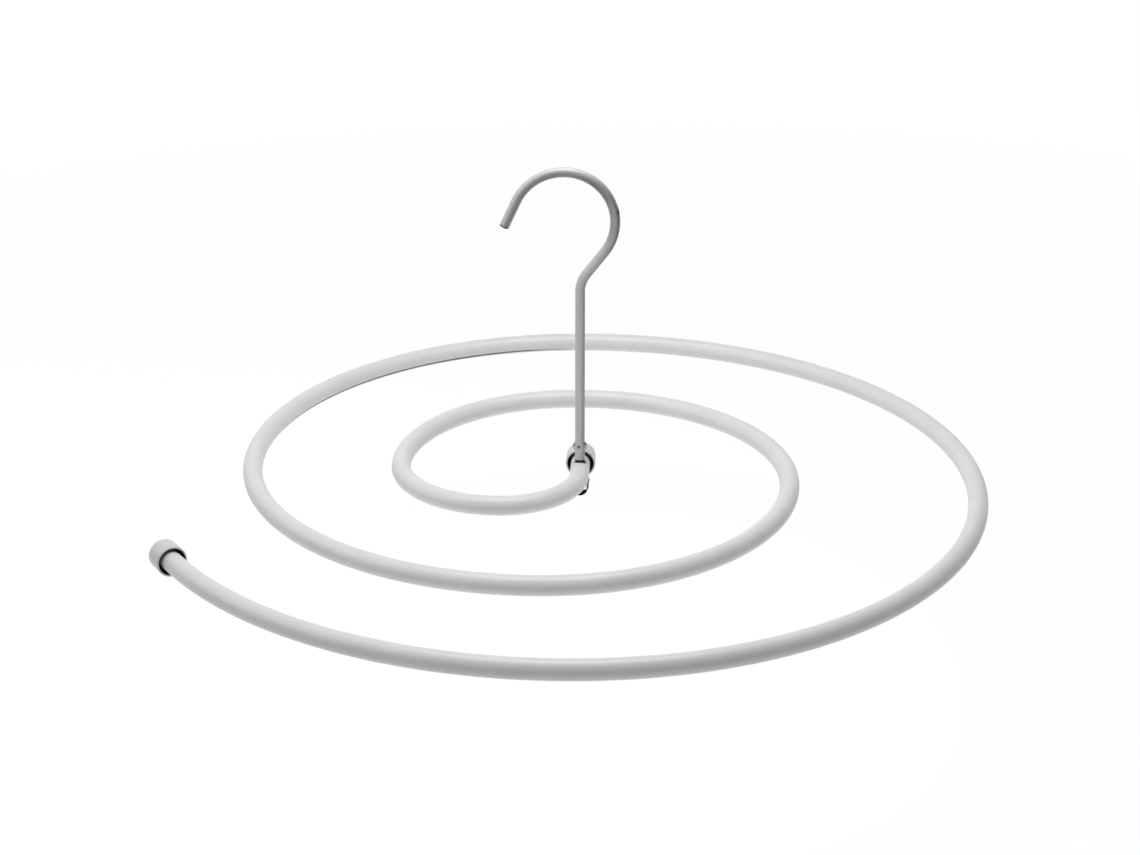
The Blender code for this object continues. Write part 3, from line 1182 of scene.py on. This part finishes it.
@dataclass
class CapNut:
    """The domed nut on the hook's foot: a turned blank whose flats are cut by a hexagonal bar."""

    across_flats: float = 0.010
    turn: float = math.radians(46)
    hex_height: float = 0.0046
    dome_diameter: float = 0.0096
    dome_height: float = 0.0044
    dome_steps: int = 14
    last_ring_short: float = 0.3
    chamfer_angle: float = math.radians(30)
    corner_rounding: float = 0.00012
    corner_steps: int = 3
    neck_flare: float = 0.0003
    bore_radius: float = 0.0033
    bore_core: float = 0.00033
    crown_wall: float = 0.0022
    bar_overlength: float = 1.5
    shade_angle: float = math.radians(24)
    sides: int = 96
    flats: int = 6

    def build(self) -> Piece:
        """Turn the blank, cut its flats and soften its edges.

        Returns:
            The dressed nut.
        """
        low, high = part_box("cap_nut")
        top = high.z
        flat = self.across_flats / 2
        corner = flat / math.cos(math.pi / self.flats)
        chamfer = (corner - flat) * math.tan(self.chamfer_angle)
        hex_bottom = top - self.hex_height
        dome = self.dome_diameter / 2
        bore_end = low.z + self.crown_wall
        origin = Vector((HUB.x, HUB.y, 0))
        lathe = Lathe("domed_cap_nut", origin, UP, self.bore_core, bore_end, self.sides)
        lathe.follow([(self.bore_radius, bore_end), (self.bore_radius, top), (flat, top),
                      (corner, top - chamfer), (corner, hex_bottom + chamfer), (flat, hex_bottom),
                      (dome + self.neck_flare, hex_bottom)])
        for index in range(1, self.dome_steps):
            angle = QUARTER_TURN * index / self.dome_steps
            lathe.follow([(dome * math.cos(angle), hex_bottom - self.dome_height * math.sin(angle))])
        last_angle = QUARTER_TURN * (self.dome_steps - self.last_ring_short) / self.dome_steps
        lathe.follow([(dome * math.cos(last_angle), low.z)])
        nut = lathe.finish(fill=True, merge=False)
        cut_with(nut, self.hexagonal_bar(corner, low.z, top), "INTERSECT")
        dress(nut, PlatedNutFinish())
        shade_round(nut, self.shade_angle)
        return nut

    def hexagonal_bar(self, corner: float, bottom: float, top: float) -> Piece:
        """A hexagonal bar whose long edges are softly rounded.

        Args:
            corner: Its radius at the corners.
            bottom: The nut's lowest height.
            top: The nut's highest height.

        Returns:
            The bar, longer than the nut.
        """
        deselect_everything()
        middle = Vector((HUB.x, HUB.y, (bottom + top) / 2))
        bpy.ops.mesh.primitive_cylinder_add(vertices=self.flats, radius=corner, location=middle,
                                            depth=(top - bottom) * self.bar_overlength,
                                            rotation=(0, 0, self.turn))
        bar = take_new("hexagonal_bar")
        for edge in bar.data.edges:
            ends = [bar.data.vertices[index].co for index in edge.vertices]
            edge.select = abs(ends[0].z - ends[1].z) > top - bottom
        bpy.ops.object.mode_set(mode="EDIT")
        bpy.ops.mesh.select_mode(type="EDGE")
        bpy.ops.mesh.bevel(offset=self.corner_rounding, segments=self.corner_steps)
        bpy.ops.object.mode_set(mode="OBJECT")
        return bar


@dataclass(frozen=True)
class SoftBox:
    """One square soft lamp, aimed at the hub."""

    name: str
    offset: Triple
    width: float
    power: float

    def add(self) -> None:
        """Hang the lamp at its place over the hub."""
        data = bpy.data.lights.new(self.name, "AREA")
        data.shape = "SQUARE"
        data.size = self.width
        data.energy = self.power
        lamp = bpy.data.objects.new(self.name, data)
        bpy.context.scene.collection.objects.link(lamp)
        offset = Vector(self.offset)
        lamp.location = HUB + offset
        lamp.rotation_euler = (-offset).to_track_quat("-Z", "Y").to_euler()


@dataclass
class Studio:
    """Plain white studio: pale floor well under the hanger, two soft boxes, and the photograph's camera."""

    floor_below: float = 0.13
    floor_half_width: float = 14.0
    floor_albedo: Pair = (0.92, 0.30)
    floor_albedo_reach: Pair = (0.24, 0.42)
    seen_floor_albedo: float = 0.30
    floor_glow: Pair = (0.80, 0.94)
    floor_glow_reach: Pair = (0.3, 1.6)
    floor_bounce: float = 0.32
    floor_roughness: float = 0.9
    ambient: float = 0.235
    lamps: tuple[SoftBox, ...] = (SoftBox("overhead_soft_box", (0.0, 0.0, 0.76), 0.5, 3.7),
                                  SoftBox("left_soft_box", (-0.78, -0.2, 0.7), 0.8, 2.3))
    elevation: float = math.radians(22.54)
    distance: float = 1.503
    aim_right: float = -0.00613
    aim_up: float = 0.0282
    image_width: int = 1140
    focal_pixels: float = 2439.0
    sensor_width: float = 36.0
    clip_end: float = 100.0

    def build(self) -> None:
        """Set the floor, the light, the world and the camera."""
        self.add_floor()
        for lamp in self.lamps:
            lamp.add()
        self.set_world()
        self.add_camera()
        bpy.context.scene.view_settings.view_transform = "Standard"

    def add_floor(self) -> None:
        """A pale floor that reads as white, and keeps the hanger's soft shadow."""
        deselect_everything()
        height = HUB.z - self.floor_below
        bpy.ops.mesh.primitive_plane_add(size=2 * self.floor_half_width, location=(0, 0, height))
        floor = take_new("pale_floor")
        sheet = ShaderSheet(bpy.data.materials.new("pale_floor"))
        seen = sheet.seen_directly()
        reach = sheet.reach(Vector((HUB.x, HUB.y, height)))
        glow = sheet.ramp(reach, *self.floor_glow, *self.floor_glow_reach)
        unseen = sheet.ramp(reach, *self.floor_albedo, *self.floor_albedo_reach)
        sheet.set_shader(Base_Color=sheet.mix(seen, unseen, self.seen_floor_albedo, "FLOAT"),
                         Roughness=self.floor_roughness, Specular_IOR_Level=0.0, Emission_Color=grey(1.0),
                         Emission_Strength=sheet.mix(seen, self.floor_bounce, glow, "FLOAT"))
        floor.data.materials.append(sheet.owner)

    def set_world(self) -> None:
        """White where it is seen or mirrored, a low even grey where it only lights."""
        world = bpy.data.worlds.new("studio_white")
        bpy.context.scene.world = world
        sheet = ShaderSheet(world, "Background")
        level = sheet.ramp(sheet.seen_directly(), self.ambient, 1.0, 0.0, 1.0)
        sheet.set_shader(Color=grey(1.0), Strength=level)

    def add_camera(self) -> None:
        """The camera at the photograph's place and angle."""
        data = bpy.data.cameras.new("photo_camera")
        data.sensor_width = self.sensor_width
        data.sensor_fit = "HORIZONTAL"
        data.lens = self.focal_pixels / self.image_width * self.sensor_width
        data.clip_end = self.clip_end
        camera = bpy.data.objects.new("photo_camera", data)
        bpy.context.scene.collection.objects.link(camera)
        aim = HUB + Vector((self.aim_right, 0, self.aim_up))
        back = Vector((0, -math.cos(self.elevation), math.sin(self.elevation))) * self.distance
        camera.location = aim + back
        camera.rotation_euler = (QUARTER_TURN - self.elevation, 0, 0)
        bpy.context.scene.camera = camera


def build_end_caps(tube: SpiralTube) -> None:
    """Cap both ends of the tube.

    Args:
        tube: The tube, already bent.
    """
    inner_mouth = HUB + tube.inner_outward * tube.inner_cap_from_hook
    inner_cap = EndCap(TubeEnd.INNER, inner_mouth, tube.inner_outward)
    outer_cap = EndCap(TubeEnd.OUTER, tube.outer_mouth, tube.outer_outward)
    for cap in (inner_cap, outer_cap):
        seat_piece(cap.build(), cap.end.value, Body.SPIRAL)


def main() -> None:
    """Set up the studio, then build every piece round the frame."""
    logging.basicConfig(level=logging.INFO, format="%(name)s: %(message)s")
    Studio().build()
    tube = SpiralTube()
    seat_piece(tube.build(), "spiral_tube", Body.SPIRAL)
    build_end_caps(tube)
    seat_piece(WireHook().build(), "hook", Body.HOOK)
    seat_piece(FlatWasher().build(), "washer", Body.HOOK)
    seat_piece(CapNut().build(), "cap_nut", Body.HOOK)
    deselect_everything()


if __name__ == "__main__":
    main()
